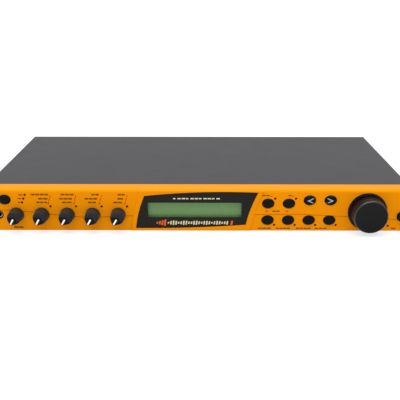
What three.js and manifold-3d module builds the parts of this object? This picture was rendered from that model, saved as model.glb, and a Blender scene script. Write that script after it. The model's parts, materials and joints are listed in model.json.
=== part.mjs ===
// Rack effects unit, one rack space high: a folded steel chassis behind a deep moulded panel.
// Millimetres. X runs to the right seen from the front, Y to the rear, Z up.
// Pieces are laid out from the panel's front face (y = 0) and the underside (z = 0); the whole
// group then moves along Y, so that the origin is the middle of the underside.
import * as THREE from 'three';
import { mergeVertices } from 'three/addons/utils/BufferGeometryUtils.js';
import Module from 'manifold-3d';

const wasm = await Module();
wasm.setup();

// ---------------------------------------------------------------- driving dimensions
const GAP = 0.3; // clearance between neighbouring pieces
const RACK = { width: 482.6, height: 43.7, slotSpanX: 465.1, slotSpanZ: 31.75 };
const RACK_SLOT = { length: 10.2, height: 6.8 };
const BEZEL = { width: 442, depth: 16.7, wall: 2.4, topRadius: 1.6, bottomRadius: 1 };
const PLATEAU = { proud: 0.5, topZ: 43.2, bottomZ: 0.3, left: [-67.5, -57.5], right: [53.5, 66.5], bow: 2.6 };
const PLATE = { front: 17, back: 19 };
const CHASSIS = { width: 436, front: 19.3, rear: 216, height: 43.2, sheet: 1.2, bend: 1.8, sideLip: 14 };
const LENS = {
  topLeft: [-53.2, 37.5], topRight: [60.8, 41.1], bottomRight: [49, 6.9], bottomLeft: [-62.5, 3.1],
};
const LENS_BOW = { top: [2.2, 43.7], right: [52.3, 24], bottom: [-6.75, 2.6], left: [-60.55, 20.3] };
const LENS_Y = { front: 0.1, back: 1, seat: 1.3 };
const SCREEN = { left: -50.2, right: 44.6, bottom: 14.6, top: 30.4 };
const KNOB = { firstX: -183.4, pitch: 25.8, count: 5, z: 17.7, proud: 13, clear: 0.8 };
const KNOB_BODY = { baseRadius: 7.7, frontRadius: 6.8, baseReach: 12.4, frontReach: 7, noseRadius: 1.8 };
const SHAFT = { radius: 3, holeRadius: 3.9, front: -10 };
const KEY = { firstX: 71.2, pitch: 20.9, upperZ: 29.7, cursorZ: 33.2, lowerZ: 11.6 };
const KEY_CAP = { width: 11.9, height: 9.7, proud: 1.5, holeMargin: 0.35 };
const ROW_KEY = { x: -194.4, z: 33.5 };
const WHEEL = { x: 171.8, z: 20.9, radius: 17.1, frontRadius: 17, proud: 16, dish: 0.9 };
const WHEEL_SKIRT = { radius: 18.8, front: -0.8, back: 2.6 }; // a collar at the wheel's base, in its recess
const WELL = { radius: 19.9, depth: 4.4 }; // the dished recess that the wheel turns in
const POWER = { x: 207.6, z: 16, radius: 5.4, proud: 3.2, stemRadius: 2.2, stemEnd: 19, travel: 3 };
const PHONES = { x: -201.6, z: 17.2 };
const LED = { radius: 1.25, knobDX: 9.2, knobDZ: 8.7, keyDX: 6.9, keyDZ: 5.2 };
const ROW_LEDS = { x: -173.6, z: 38.4, stepX: -1.65, stepZ: -3.95, count: 3 };
const ACTIVITY_LED = { x: 193.8, z: 5.6 };
const BOARD_Y = { front: 12.4, back: 14 }; // the upright boards behind the panel
const MAIN_BOARD_Z = { bottom: 7, top: 8.6 };
const PLUG_BORE = 3.3; // radius of a 6.35 mm plug's bore, with clearance
const REAR = { z: 20.5, audioX: 130, audioPitch: 24, digitalX: -20, midiX: -52, midiPitch: 25, inletX: 178 };
const REAR_CUT = { audio: 4.95, digital: 4.4, midi: 8.1, inletWidth: 27.6, inletHeight: 20.4 };
const PHONO = { radius: 4.1, proud: 8.3 };
const WINDOWS = [[-213.2, -193.7], [60, 98], [200.6, 213.2]]; // gaps in plate and front wall, X from and to
const WINDOW_Z = [7, 37];
const COVER_SCREW = { y: 117, z: 7, shank: 1.5, head: 3.2, headHeight: 1.7, length: 6 };
const ROUND = 32; // sides of a large round
const MEDIUM = 16; // sides of a socket or a button
const SMALL = 12; // sides of a small round

// ---------------------------------------------------------------- materials
function finish(color, roughness, metalness) {
  return new THREE.MeshStandardMaterial({ color, roughness, metalness });
}
const MATERIAL = {
  orange: finish(0xee8c05, 0.45, 0),
  orangeSteel: finish(0xee8c05, 0.45, 0.1),
  darkSteel: finish(0x5c5c5f, 0.5, 0.4),
  knobPlastic: finish(0x2c2b2d, 0.6, 0),
  wheelPlastic: finish(0x232326, 0.5, 0),
  keyRubber: finish(0x191c23, 0.6, 0),
  lens: finish(0x282623, 0.2, 0),
  screenGlass: finish(0x6a875a, 0.3, 0),
  nickel: finish(0xc8c8c8, 0.25, 1),
  blackPlastic: finish(0x1c1c1e, 0.55, 0),
  board: finish(0x1f5a34, 0.55, 0),
  ribbon: finish(0x9a9a9c, 0.6, 0),
};

// ---------------------------------------------------------------- solids from three.js geometry
function facing(points, corners) {
  let volume = 0;
  const a = new THREE.Vector3();
  const b = new THREE.Vector3();
  const c = new THREE.Vector3();
  for (let i = 0; i < corners.length; i += 3) {
    a.fromArray(points, corners[i] * 3);
    b.fromArray(points, corners[i + 1] * 3);
    c.fromArray(points, corners[i + 2] * 3);
    volume += a.dot(b.cross(c));
  }
  return Math.sign(volume);
}

// A closed solid for joining and cutting: shared corners merged, flat triangles dropped, faces outward.
function solid(geometry) {
  const bare = new THREE.BufferGeometry();
  bare.setAttribute('position', geometry.getAttribute('position'));
  bare.setIndex(geometry.getIndex());
  const merged = mergeVertices(bare, 1e-4);
  const points = merged.getAttribute('position').array;
  const all = merged.getIndex().array;
  const corners = [];
  for (let i = 0; i < all.length; i += 3) {
    const [p, q, r] = [all[i], all[i + 1], all[i + 2]];
    if (p !== q && q !== r && r !== p) corners.push(p, q, r);
  }
  if (facing(points, corners) < 0) corners.reverse();
  return new wasm.Manifold(new wasm.Mesh({
    numProp: 3,
    vertProperties: new Float32Array(points),
    triVerts: new Uint32Array(corners),
  }));
}

function meshGeometry(body) {
  const mesh = body.getMesh();
  const geometry = new THREE.BufferGeometry();
  geometry.setAttribute('position', new THREE.BufferAttribute(new Float32Array(mesh.vertProperties), 3));
  geometry.setIndex(new THREE.BufferAttribute(new Uint32Array(mesh.triVerts), 1));
  geometry.computeVertexNormals();
  return geometry;
}

function joined(...bodies) {
  return bodies.reduce((sum, body) => sum.add(body));
}

function cutBy(body, ...tools) {
  return tools.reduce((rest, tool) => rest.subtract(tool), body);
}

function box(xRange, yRange, zRange) {
  const size = [xRange, yRange, zRange].map(([low, high]) => high - low);
  const middle = [xRange, yRange, zRange].map(([low, high]) => (low + high) / 2);
  return solid(new THREE.BoxGeometry(...size).translate(...middle));
}

// Outlines are lists of [u, v] points. They become prisms along one axis.
function extruded(outline, depth) {
  const shape = new THREE.Shape(outline.map(([u, v]) => new THREE.Vector2(u, v)));
  return new THREE.ExtrudeGeometry(shape, { depth, bevelEnabled: false });
}

function prismX(outlineYZ, xRange) {
  const turn = new THREE.Matrix4().makeBasis(
    new THREE.Vector3(0, 1, 0), new THREE.Vector3(0, 0, 1), new THREE.Vector3(1, 0, 0));
  const geometry = extruded(outlineYZ, xRange[1] - xRange[0]).applyMatrix4(turn);
  return solid(geometry.translate(xRange[0], 0, 0));
}

function prismY(outlineXZ, yRange) {
  const geometry = extruded(outlineXZ, yRange[1] - yRange[0]).rotateX(Math.PI / 2);
  return solid(geometry.translate(0, yRange[1], 0));
}

function prismZ(outlineXY, zRange) {
  const geometry = extruded(outlineXY, zRange[1] - zRange[0]);
  return solid(geometry.translate(0, 0, zRange[0]));
}

// A solid of revolution about the Y axis through (x, z), from [radius, y] points.
function turned(profile, sides, x = 0, z = 0) {
  const points = profile.map(([radius, y]) => new THREE.Vector2(radius, y));
  return solid(new THREE.LatheGeometry(points, sides).translate(x, 0, z));
}

function rod(radius, yRange, sides, x = 0, z = 0) {
  return turned([[0, yRange[0]], [radius, yRange[0]], [radius, yRange[1]], [0, yRange[1]]], sides, x, z);
}

// ---------------------------------------------------------------- outlines
function arc(cu, cv, radius, fromDegrees, toDegrees, steps) {
  const points = [];
  for (let i = 0; i <= steps; i += 1) {
    const angle = THREE.MathUtils.degToRad(fromDegrees + ((toDegrees - fromDegrees) * i) / steps);
    points.push([cu + radius * Math.cos(angle), cv + radius * Math.sin(angle)]);
  }
  return points;
}

function oval(cu, cv, width, height, sides) {
  return arc(0, 0, 1, 0, 360 - 360 / sides, sides - 1)
    .map(([u, v]) => [cu + (u * width) / 2, cv + (v * height) / 2]);
}

function rectangle(left, right, bottom, top) {
  return [[left, bottom], [right, bottom], [right, top], [left, top]];
}

function slot(cu, cv, length, height) {
  const reach = (length - height) / 2;
  return [
    ...arc(cu + reach, cv, height / 2, -90, 90, 6),
    ...arc(cu - reach, cv, height / 2, 90, 270, 6),
  ];
}

function bowed(from, control, to, steps) {
  const [a, b, c] = [from, control, to].map(([u, v]) => new THREE.Vector2(u, v));
  return new THREE.QuadraticBezierCurve(a, b, c).getPoints(steps).slice(0, -1).map((p) => [p.x, p.y]);
}

// The four-sided display window with bowed sides, grown outwards by a margin.
function lensOutline(margin) {
  const moved = ([u, v], du, dv) => [u + du * margin, v + dv * margin];
  const corners = [
    moved(LENS.topLeft, -1, 1), moved(LENS.topRight, 1, 1),
    moved(LENS.bottomRight, 1, -1), moved(LENS.bottomLeft, -1, -1),
  ];
  const bows = [
    moved(LENS_BOW.top, 0, 1), moved(LENS_BOW.right, 1, 0),
    moved(LENS_BOW.bottom, 0, -1), moved(LENS_BOW.left, -1, 0),
  ];
  return corners.flatMap((corner, i) => bowed(corner, bows[i], corners[(i + 1) % 4], 8)).reverse();
}

function plateauOutline() {
  const { left, right, topZ, bottomZ, bow } = PLATEAU;
  const middle = (topZ + bottomZ) / 2;
  const bowPoint = (side) => [(side[0] + side[1]) / 2 - bow, middle];
  return [
    ...bowed([left[0], bottomZ], bowPoint(left), [left[1], topZ], 6),
    [left[1], topZ],
    ...bowed([right[1], topZ], bowPoint(right), [right[0], bottomZ], 6),
    [right[0], bottomZ],
  ];
}

// ---------------------------------------------------------------- where the controls are
function knobX(index) {
  return KNOB.firstX + KNOB.pitch * index;
}

const KEYS = [
  { name: 'panel_button_1', column: 0, z: KEY.upperZ },
  { name: 'panel_button_2', column: 1, z: KEY.upperZ },
  { name: 'cursor_left_button', column: 2, z: KEY.cursorZ },
  { name: 'cursor_right_button', column: 3, z: KEY.cursorZ },
  { name: 'panel_button_3', column: 0, z: KEY.lowerZ },
  { name: 'panel_button_4', column: 1, z: KEY.lowerZ },
  { name: 'panel_button_5', column: 2, z: KEY.lowerZ },
  { name: 'panel_button_6', column: 3, z: KEY.lowerZ },
].map(({ name, column, z }) => ({ name, x: KEY.firstX + KEY.pitch * column, z }));

function ledPlaces() {
  const places = [[ACTIVITY_LED.x, ACTIVITY_LED.z]];
  for (let i = 0; i < ROW_LEDS.count; i += 1) {
    places.push([ROW_LEDS.x + ROW_LEDS.stepX * i, ROW_LEDS.z + ROW_LEDS.stepZ * i]);
  }
  for (let i = 1; i < KNOB.count; i += 1) {
    places.push([knobX(i) + LED.knobDX, KNOB.z + LED.knobDZ]);
  }
  for (const key of KEYS) {
    const side = key.z === KEY.lowerZ ? -1 : 1;
    if (key.z !== KEY.cursorZ) places.push([key.x + LED.keyDX, key.z + side * LED.keyDZ]);
  }
  return places;
}

// ---------------------------------------------------------------- panel
function frontBezel() {
  const { width, depth, wall, topRadius, bottomRadius } = BEZEL;
  const top = RACK.height;
  const section = [
    [depth, 0], [depth, top],
    ...arc(topRadius, top - topRadius, topRadius, 90, 180, 4),
    ...arc(bottomRadius, bottomRadius, bottomRadius, 180, 270, 3),
  ];
  const block = prismX(section, [-width / 2, width / 2]);
  const plateau = prismY(plateauOutline(), [-PLATEAU.proud, wall / 2]);
  const inside = box([-width / 2 + wall, width / 2 - wall], [wall, depth + 1], [wall, top - wall]);
  const cup = turned([
    [0, wall / 2], [WELL.radius + 1.4, wall / 2], [WELL.radius + 1.4, WELL.depth + 1.5],
    [0, WELL.depth + 1.5],
  ], ROUND, WHEEL.x, WHEEL.z);
  const well = turned([
    [0, -2], [WELL.radius + 0.4, -2], [WELL.radius, 0.6], [WELL.radius - 1.2, WELL.depth],
    [0, WELL.depth],
  ], ROUND, WHEEL.x, WHEEL.z);
  const shell = cutBy(joined(block, plateau), inside);
  return cutBy(joined(shell, cup.intersect(block)), well, ...bezelHoles());
}

function bezelHoles() {
  const through = [-2, BEZEL.wall + 1];
  const keyHole = ({ x, z }) => prismY(oval(x, z, KEY_CAP.width + 2 * KEY_CAP.holeMargin,
    KEY_CAP.height + 2 * KEY_CAP.holeMargin, MEDIUM), through);
  const holes = [...KEYS, ROW_KEY].map(keyHole);
  for (const [x, z] of ledPlaces()) holes.push(rod(LED.radius, through, 8, x, z));
  for (let i = 0; i < KNOB.count; i += 1) holes.push(rod(SHAFT.holeRadius, through, SMALL, knobX(i), KNOB.z));
  holes.push(rod(SHAFT.holeRadius, [0, WELL.depth + 3], SMALL, WHEEL.x, WHEEL.z));
  holes.push(rod(POWER.radius + 0.4, through, MEDIUM, POWER.x, POWER.z));
  holes.push(rod(5, through, SMALL, PHONES.x, PHONES.z));
  holes.push(prismY(lensOutline(GAP), [-2, LENS_Y.seat]));
  const view = rectangle(SCREEN.left - 3, SCREEN.right + 3, SCREEN.bottom - 2, SCREEN.top + 2);
  holes.push(prismY(view, through));
  return holes;
}

function windowCuts(yRange) {
  return WINDOWS.map((range) => box(range, yRange, WINDOW_Z));
}

function frontPlate() {
  const yRange = [PLATE.front, PLATE.back];
  const cutRange = [PLATE.front - 1, PLATE.back + 1];
  const plate = box([-RACK.width / 2, RACK.width / 2], yRange, [0, RACK.height]);
  const slots = [-1, 1].flatMap((side) => [-1, 1].map((level) => prismY(slot(
    (side * RACK.slotSpanX) / 2, RACK.height / 2 + (level * RACK.slotSpanZ) / 2,
    RACK_SLOT.length, RACK_SLOT.height), cutRange)));
  return cutBy(plate, ...slots, ...windowCuts(cutRange));
}

function displayLens() {
  return prismY(lensOutline(0), [LENS_Y.front, LENS_Y.back]);
}

function lcdFrame() {
  const outer = box([SCREEN.left - 8, SCREEN.right + 8], [3, 8], [SCREEN.bottom - 7, SCREEN.top + 7]);
  const hollow = box([SCREEN.left - 7.4, SCREEN.right + 7.4], [3.6, 9],
    [SCREEN.bottom - 6.4, SCREEN.top + 6.4]);
  const window = box([SCREEN.left - 1, SCREEN.right + 1], [2, 5], [SCREEN.bottom - 2.5, SCREEN.top + 1]);
  return cutBy(outer, hollow, window);
}

function lcdGlass() {
  return box([SCREEN.left - 6, SCREEN.right + 6], [3.9, 6.8], [SCREEN.bottom - 5, SCREEN.top + 5]);
}

function lcdBoard() {
  const board = box([SCREEN.left - 11, SCREEN.right + 11], [8.3, 9.9], [4.4, 39.4]);
  const driver = box([-24, -6], [9.9, 12], [15, 29]);
  const secondDriver = box([4, 22], [9.9, 12], [15, 29]);
  return joined(board, driver, secondDriver);
}

// An upright board with one push switch behind each key on it.
function panelBoard(outline, keys) {
  const board = prismY(outline, [BOARD_Y.front, BOARD_Y.back]);
  const switches = keys.flatMap(({ x, z }) => [
    box([x - 3, x + 3], [8.4, BOARD_Y.front + 0.1], [z - 3, z + 3]),
    rod(1.7, [6.8, 8.5], 8, x, z),
  ]);
  return joined(board, ...switches);
}

function leftPanelBoard() {
  const outline = [[-193.5, 3.4], [-66, 3.4], [-66, 40], [-202, 40], [-202, 27.6], [-193.5, 27.6]];
  return panelBoard(outline, [ROW_KEY]);
}

function rightPanelBoard() {
  return panelBoard(rectangle(62, 199, 3.4, 40), KEYS);
}

// ---------------------------------------------------------------- controls
// Distance from the axis to a pointer outline: a circle drawn out to a small round nose.
function pointerRadius(radius, reach, angleFromNose) {
  const steps = 10;
  let furthest = radius;
  for (let i = 1; i <= steps; i += 1) {
    const along = (reach - KNOB_BODY.noseRadius) * (i / steps);
    const size = radius + (KNOB_BODY.noseRadius - radius) * (i / steps);
    const aside = along * Math.sin(angleFromNose);
    const inside = size * size - aside * aside;
    if (inside > 0) furthest = Math.max(furthest, along * Math.cos(angleFromNose) + Math.sqrt(inside));
  }
  return furthest;
}

// A pointer knob at its lowest setting: the nose looks down to the left, 30 degrees from vertical.
function pointerKnob() {
  const { baseRadius, frontRadius, baseReach, frontReach } = KNOB_BODY;
  const front = -KNOB.proud;
  const back = -KNOB.clear;
  const skirt = back - 1.6;
  const rings = [
    { y: back, radius: baseRadius, reach: baseReach },
    { y: skirt, radius: baseRadius, reach: baseReach },
    { y: front + 1, radius: frontRadius + 0.3, reach: frontReach + 0.5 },
    { y: front, radius: frontRadius - 0.9, reach: frontReach - 0.7 },
  ];
  const profile = [[0, back], ...rings.map(({ y, radius }) => [radius, y]), [0, front - 0.2]];
  const geometry = new THREE.LatheGeometry(profile.map(([r, y]) => new THREE.Vector2(r, y)), ROUND);
  const nose = THREE.MathUtils.degToRad(-120);
  const places = geometry.getAttribute('position');
  for (let i = 0; i < places.count; i += 1) {
    const [x, y, z] = [places.getX(i), places.getY(i), places.getZ(i)];
    const ring = rings.find((candidate) => Math.abs(candidate.y - y) < 1e-3);
    if (ring && Math.hypot(x, z) > 1) {
      const angle = Math.atan2(z, x);
      const away = Math.abs(THREE.MathUtils.euclideanModulo(angle - nose + Math.PI, 2 * Math.PI) - Math.PI);
      const radius = pointerRadius(ring.radius, ring.reach, Math.min(away, Math.PI / 2));
      places.setXYZ(i, radius * Math.cos(angle), y, radius * Math.sin(angle));
    }
  }
  const bore = rod(SHAFT.radius + GAP, [SHAFT.front - GAP, 2], SMALL);
  return cutBy(solid(geometry), bore);
}

function potShaft() {
  return rod(SHAFT.radius, [SHAFT.front, 9.5], SMALL);
}

function potBody() {
  const body = box([-5, 5], [5.6, BOARD_Y.front - GAP], [-6.5, 5]);
  const bore = rod(SHAFT.radius + GAP, [0, 9.5 + GAP], SMALL);
  return cutBy(body, bore);
}

function dataWheel() {
  const { radius, frontRadius, proud, dish } = WHEEL;
  const skirt = WHEEL_SKIRT;
  const hub = SHAFT.radius + GAP;
  return turned([
    [0, dish - proud], [frontRadius / 2, dish * 0.72 - proud], [frontRadius - 1.6, -proud],
    [frontRadius - 0.5, 0.5 - proud], [frontRadius, 1.6 - proud],
    [radius, skirt.front], [skirt.radius, skirt.front + 0.3], [skirt.radius, skirt.back],
    [radius - 2.2, skirt.back], [frontRadius - 2.2, 3 - proud], [hub + 1.8, 3 - proud],
    [hub + 1.8, 3.2], [hub, 3.2], [hub, SHAFT.front - 1], [0, SHAFT.front - 1],
  ], ROUND);
}

function encoderShaft() {
  return rod(SHAFT.radius, [SHAFT.front - 0.6, 10], SMALL);
}

function encoderBody() {
  const body = box([-6.5, 6.5], [6.3, BOARD_Y.front - GAP], [-6.5, 6.5]);
  const bore = rod(SHAFT.radius + GAP, [0, 10 + GAP], SMALL);
  return cutBy(body, bore);
}

// A domed oval cap on a flange that stays behind the panel, with a stem that reaches its switch.
function keyCap() {
  const { width, height, proud } = KEY_CAP;
  const unitProfile = [
    [0, -proud], [0.55, -proud + 0.12], [0.88, -proud + 0.5], [1, -proud + 1.1],
    [1, 2.75], [1.2, 2.75], [1.2, 3.9], [0.42, 3.9], [0.42, 5.6], [0, 5.6],
  ];
  const points = unitProfile.map(([r, y]) => new THREE.Vector2(r, y));
  return solid(new THREE.LatheGeometry(points, MEDIUM).scale(width / 2, 1, height / 2));
}

function powerKey() {
  const { radius, proud, stemRadius, stemEnd } = POWER;
  return turned([
    [0, -proud], [radius - 1, -proud], [radius, -proud + 0.8], [radius, 2.75], [radius + 1, 2.75],
    [radius + 1, 4], [stemRadius, 4], [stemRadius, stemEnd], [0, stemEnd],
  ], MEDIUM);
}

function powerSwitch() {
  const front = POWER.stemEnd + POWER.travel + GAP;
  const body = box([-4.9, 4.9], [front + 0.6, front + 24], [-5.5, 5.5]);
  const plunger = box([-2, 2], [front, front + 2], [-2, 2]);
  return joined(body, plunger);
}

function headphoneJack() {
  const body = box([-7.2, 7.2], [BEZEL.wall + GAP, 30], [-7.6, 7.6]);
  const bushing = rod(4.5, [-0.4, BEZEL.wall + 1], SMALL);
  const bore = rod(PLUG_BORE, [-2, 26], SMALL);
  return cutBy(joined(body, bushing), bore);
}

// ---------------------------------------------------------------- chassis
function audioX(index) {
  return REAR.audioX - REAR.audioPitch * index;
}

function midiX(index) {
  return REAR.midiX - REAR.midiPitch * index;
}

function chassisTray() {
  const { width, front, rear, height, sheet, sideLip } = CHASSIS;
  const half = width / 2 - sheet - GAP - 0.1;
  const wallTop = height - sheet - GAP - 0.1;
  const floor = box([-half, half], [front, rear], [0, sheet]);
  const frontWall = cutBy(box([-half, half], [front, front + sheet], [0, wallTop]),
    ...windowCuts([front - 1, front + sheet + 1]));
  const rearWall = cutBy(box([-half, half], [rear - sheet, rear], [0, wallTop]), ...rearCuts());
  const lips = [-1, 1].map((side) => {
    const range = [side * half, side * (half - sheet)].sort((a, b) => a - b);
    return box(range, [front, rear], [0, sideLip]);
  });
  return cutBy(joined(floor, frontWall, rearWall, ...lips), coverScrewHole());
}

// One hole across the whole width, through both side lips or both sides of the cover.
function coverScrewHole() {
  const { y, z, shank } = COVER_SCREW;
  const outline = oval(y, z, 2 * (shank + GAP), 2 * (shank + GAP), SMALL);
  return prismX(outline, [-CHASSIS.width, CHASSIS.width]);
}

// A pan-head screw through the right side, its axis along X.
function coverScrew() {
  const { y, z, shank, head, headHeight, length } = COVER_SCREW;
  const side = CHASSIS.width / 2 + GAP;
  const shaft = prismX(oval(y, z, 2 * shank, 2 * shank, SMALL), [side - length, side + 0.5]);
  const cap = prismX(oval(y, z, 2 * head, 2 * head, SMALL), [side, side + headHeight * 0.6]);
  const crown = prismX(oval(y, z, 1.5 * head, 1.5 * head, SMALL), [side, side + headHeight]);
  return joined(shaft, cap, crown);
}

function rearCuts() {
  const yRange = [CHASSIS.rear - CHASSIS.sheet - 1, CHASSIS.rear + 1];
  const cuts = [rod(REAR_CUT.digital, yRange, SMALL, REAR.digitalX, REAR.z)];
  for (let i = 0; i < 6; i += 1) cuts.push(rod(REAR_CUT.audio, yRange, SMALL, audioX(i), REAR.z));
  for (let i = 0; i < 5; i += 1) cuts.push(rod(REAR_CUT.midi, yRange, MEDIUM, midiX(i), REAR.z));
  const across = REAR_CUT.inletWidth / 2;
  const up = REAR_CUT.inletHeight / 2;
  cuts.push(box([REAR.inletX - across, REAR.inletX + across], yRange, [REAR.z - up, REAR.z + up]));
  return cuts;
}

// One folded sheet over the top and down both sides.
function topCover() {
  const { width, front, rear, height, sheet, bend } = CHASSIS;
  const half = width / 2;
  const bottom = 0.5;
  const right = [
    [half - sheet, bottom], [half, bottom],
    ...arc(half - bend, height - bend, bend, 0, 90, 4),
  ];
  const innerRight = arc(half - bend, height - bend, bend - sheet, 90, 0, 2);
  const section = [
    ...right,
    ...arc(-half + bend, height - bend, bend, 90, 180, 4),
    [-half, bottom], [-half + sheet, bottom],
    ...arc(-half + bend, height - bend, bend - sheet, 180, 90, 2),
    ...innerRight,
  ];
  return cutBy(prismY(section, [front, rear]), coverScrewHole());
}

// ---------------------------------------------------------------- rear connectors, seen from their own axis
function audioJack() {
  const body = box([-8, 8], [-28, -CHASSIS.sheet - GAP], [-9, 8.5]);
  const bushing = rod(4.65, [-CHASSIS.sheet - 1, 2.6], SMALL);
  const nut = rod(6.4, [GAP, 2.2], 6);
  const bore = rod(PLUG_BORE, [-24, 4], SMALL);
  return cutBy(joined(body, bushing, nut), bore);
}

function midiSocket() {
  const body = box([-9, 9], [-14, -CHASSIS.sheet - GAP], [-10, 10]);
  const face = rod(7.6, [-CHASSIS.sheet - 1, 0.8], MEDIUM);
  const groove = cutBy(rod(6.9, [-8, 2], MEDIUM), rod(5.6, [-9, 3], MEDIUM));
  const pinHoles = [-90, -45, 0, 45, 90].map((degrees) => {
    const angle = THREE.MathUtils.degToRad(degrees + 90);
    return rod(0.8, [-8, 2], 6, 3.9 * Math.cos(angle), 3.9 * Math.sin(angle));
  });
  return cutBy(joined(body, face), groove, ...pinHoles);
}

function digitalJack() {
  const body = box([-6, 6], [-12, -CHASSIS.sheet - GAP], [-8, 7]);
  const barrel = rod(PHONO.radius, [-CHASSIS.sheet - 1, PHONO.proud], MEDIUM);
  const bore = rod(1.7, [-8, PHONO.proud + 1], 8);
  return cutBy(joined(body, barrel), bore);
}

function mainsInlet() {
  const flange = box([-15.4, 15.4], [GAP, 2.2], [-12, 12]);
  const body = box([-13.5, 13.5], [-16, 1], [-9.9, 9.9]);
  const cavity = prismY([
    [-12.2, -8.3], [12.2, -8.3], [12.2, 3.8], [7.7, 8.3], [-7.7, 8.3], [-12.2, 3.8],
  ], [-14, 4]);
  const blade = (x, z) => box([x - 1, x + 1], [-15, -1.5], [z - 2, z + 2]);
  return joined(cutBy(joined(flange, body), cavity), blade(-7, -1.5), blade(7, -1.5), blade(0, 2.5));
}

// ---------------------------------------------------------------- inside the chassis
function mainBoard() {
  const { bottom, top } = MAIN_BOARD_Z;
  const chip = (x, y, size, height) => box([x - size / 2, x + size / 2], [y - size / 2, y + size / 2],
    [top - 0.1, top + height]);
  return joined(
    box([-196, 118], [58, 212], [bottom, top]),
    chip(-150, 120, 28, 3),
    chip(40, 120, 34, 3),
    chip(85, 110, 22, 3),
    chip(0, 90, 14, 3),
    box([62, 96], [62, 69], [top - 0.1, 13]),
    box([-110, -40], [100, 106], [top - 0.1, 13.7]),
  );
}

function expansionBoard() {
  const board = box([-118, -32], [92, 148], [14, 15.6]);
  const memory = [-100, -78, -56].map((x) => box([x - 7, x + 7], [118, 138], [15.5, 18]));
  return joined(board, ...memory);
}

function capacitor(x, y, radius, height) {
  const { top } = MAIN_BOARD_Z;
  return prismZ(oval(x, y, radius * 2, radius * 2, SMALL), [top - 0.1, top + height]);
}

function powerSupplyBoard() {
  const { bottom, top } = MAIN_BOARD_Z;
  return joined(
    box([126, 206], [58, 196], [bottom, top]),
    capacitor(188, 130, 9, 26),
    capacitor(188, 154, 9, 26),
    capacitor(188, 176, 6, 20),
    box([134, 138], [130, 188], [top - 0.1, top + 26]),
  );
}

function transformer() {
  const { top } = MAIN_BOARD_Z;
  const core = box([132, 178], [68, 108], [top + GAP, 36]);
  const winding = box([140, 170], [64, 112], [top + 3, 31]);
  return joined(core, winding);
}

// A flat cable from the board behind the panel to its header on the main board.
function ribbonCable() {
  const thickness = 1;
  const route = [[14.4, 26], [46, 26], [56, 23], [62, 18], [65.5, 13.4]];
  const upper = route.map(([y, z]) => [y + thickness * 0.7, z + thickness * 0.7]);
  return prismX([...route, ...upper.reverse()], [64, 94]);
}

// ---------------------------------------------------------------- the assembly
const unit = new THREE.Group();
const FRONT_EXTENT = -WHEEL.proud;
const REAR_EXTENT = CHASSIS.rear + PHONO.proud;
unit.position.y = -(FRONT_EXTENT + REAR_EXTENT) / 2;

function add(name, body, material, position = [0, 0, 0]) {
  const mesh = new THREE.Mesh(meshGeometry(body), material);
  mesh.name = name;
  mesh.position.set(...position);
  unit.add(mesh);
  return mesh;
}

add('front_bezel', frontBezel(), MATERIAL.orange);
add('front_plate', frontPlate(), MATERIAL.orangeSteel);
add('chassis_tray', chassisTray(), MATERIAL.darkSteel);
add('top_cover', topCover(), MATERIAL.darkSteel);
const screw = coverScrew();
add('cover_screw_right', screw, MATERIAL.nickel);
add('cover_screw_left', screw, MATERIAL.nickel, [0, 2 * COVER_SCREW.y, 0]).rotation.z = Math.PI;
add('display_lens', displayLens(), MATERIAL.lens);
add('lcd_frame', lcdFrame(), MATERIAL.blackPlastic);
add('lcd_glass', lcdGlass(), MATERIAL.screenGlass);
add('lcd_board', lcdBoard(), MATERIAL.board);
add('panel_board_left', leftPanelBoard(), MATERIAL.board);
add('panel_board_right', rightPanelBoard(), MATERIAL.board);

const knobBody = pointerKnob();
const shaftBody = potShaft();
const potHousing = potBody();
for (let i = 0; i < KNOB.count; i += 1) {
  const place = [knobX(i), 0, KNOB.z];
  const [knob, shaft, pot] = i === 0
    ? ['volume_knob', 'volume_shaft', 'volume_pot']
    : [`control_knob_${i}`, `control_shaft_${i}`, `control_pot_${i}`];
  add(knob, knobBody, MATERIAL.knobPlastic, place);
  add(shaft, shaftBody, MATERIAL.nickel, place);
  add(pot, potHousing, MATERIAL.blackPlastic, place);
}

add('data_wheel', dataWheel(), MATERIAL.wheelPlastic, [WHEEL.x, 0, WHEEL.z]);
add('encoder_shaft', encoderShaft(), MATERIAL.nickel, [WHEEL.x, 0, WHEEL.z]);
add('encoder_body', encoderBody(), MATERIAL.blackPlastic, [WHEEL.x, 0, WHEEL.z]);

const keyBody = keyCap();
add('row_select_button', keyBody, MATERIAL.keyRubber, [ROW_KEY.x, 0, ROW_KEY.z]);
for (const key of KEYS) add(key.name, keyBody, MATERIAL.keyRubber, [key.x, 0, key.z]);
add('power_button', powerKey(), MATERIAL.keyRubber, [POWER.x, 0, POWER.z]);
add('power_switch', powerSwitch(), MATERIAL.blackPlastic, [POWER.x, 0, POWER.z]);
add('headphone_jack', headphoneJack(), MATERIAL.blackPlastic, [PHONES.x, 0, PHONES.z]);

const jackBody = audioJack();
for (let i = 0; i < 6; i += 1) {
  add(`audio_jack_${i + 1}`, jackBody, MATERIAL.blackPlastic, [audioX(i), CHASSIS.rear, REAR.z]);
}
const socketBody = midiSocket();
for (let i = 0; i < 5; i += 1) {
  add(`midi_socket_${i + 1}`, socketBody, MATERIAL.blackPlastic, [midiX(i), CHASSIS.rear, REAR.z]);
}
add('digital_jack', digitalJack(), MATERIAL.nickel, [REAR.digitalX, CHASSIS.rear, REAR.z]);
add('mains_inlet', mainsInlet(), MATERIAL.blackPlastic, [REAR.inletX, CHASSIS.rear, REAR.z]);

add('main_board', mainBoard(), MATERIAL.board);
add('expansion_board', expansionBoard(), MATERIAL.board);
add('power_supply_board', powerSupplyBoard(), MATERIAL.board);
add('transformer', transformer(), MATERIAL.blackPlastic);
add('ribbon_cable', ribbonCable(), MATERIAL.ribbon);

export default unit;
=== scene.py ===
import json
import math

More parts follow.
